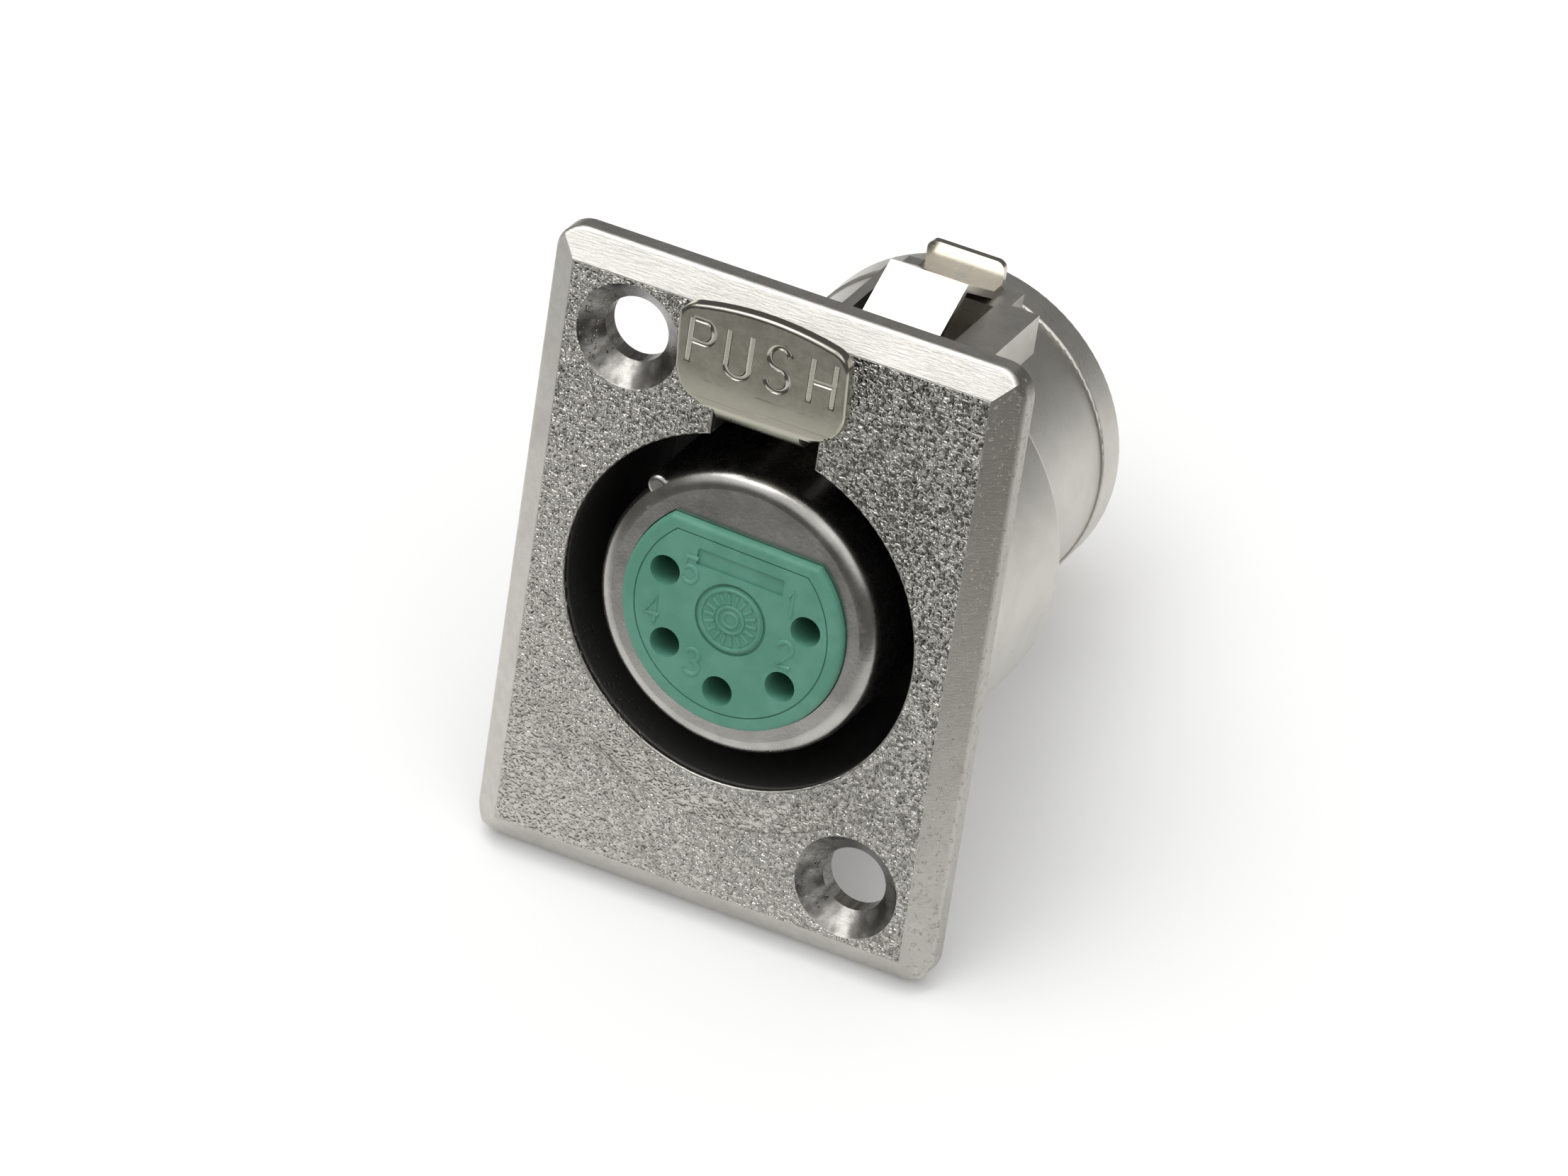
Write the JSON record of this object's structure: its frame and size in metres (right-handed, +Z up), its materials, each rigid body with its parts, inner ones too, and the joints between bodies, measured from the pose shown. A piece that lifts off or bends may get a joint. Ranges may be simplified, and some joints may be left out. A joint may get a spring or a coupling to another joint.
{
  "type": "xlr panel socket",
  "caption": "Female XLR panel socket with a bevelled rectangular flange, a push latch, a metal insert can and a green contact insulator.",
  "frame": {"origin": "centre of the socket and of the screw circle, in the plane of the flange's rear face", "axes": "+Z up, with the push latch at the top; +Y along the socket's axis, back into the panel; +X to the right as seen from the front"},
  "size_m": [0.026, 0.0317, 0.0352],
  "materials": {
    "nickel_casting": "satin nickel",
    "nickel_can": "satin nickel",
    "satin_steel": "satin",
    "steel_pin": "ground",
    "spring_bronze": "bright",
    "gold_plate": "bright",
    "tinned_brass": "tinned",
    "green_plastic": "matte"
  },
  "bodies": {
    "housing": {"shell": "nickel_casting", "latch_pin": "steel_pin", "latch_spring": "spring_bronze", "spring_rivet": "steel_pin", "insert_can": "nickel_can", "front_insulator": "green_plastic", "rear_insulator": "green_plastic", "insert_screw": "steel_pin", "ground_tag": "tinned_brass", "contact_1": "gold_plate", "contact_2": "gold_plate", "contact_3": "gold_plate", "contact_4": "gold_plate", "contact_5": "gold_plate", "contact_sleeve_1": "spring_bronze", "contact_sleeve_2": "spring_bronze", "contact_sleeve_3": "spring_bronze", "contact_sleeve_4": "spring_bronze", "contact_sleeve_5": "spring_bronze"},
    "latch": {"latch_lever": "satin_steel"}
  },
  "joints": [
    {"name": "latch_hinge", "type": "hinge", "parent": "housing", "child": "latch", "pos_m": [0, 0.0111, 0.0099], "axis": [-1, 0, 0], "range_deg": [0, 5], "stiffness_Nm_per_rad": 0.25, "springref_deg": -5.16}
  ]
}
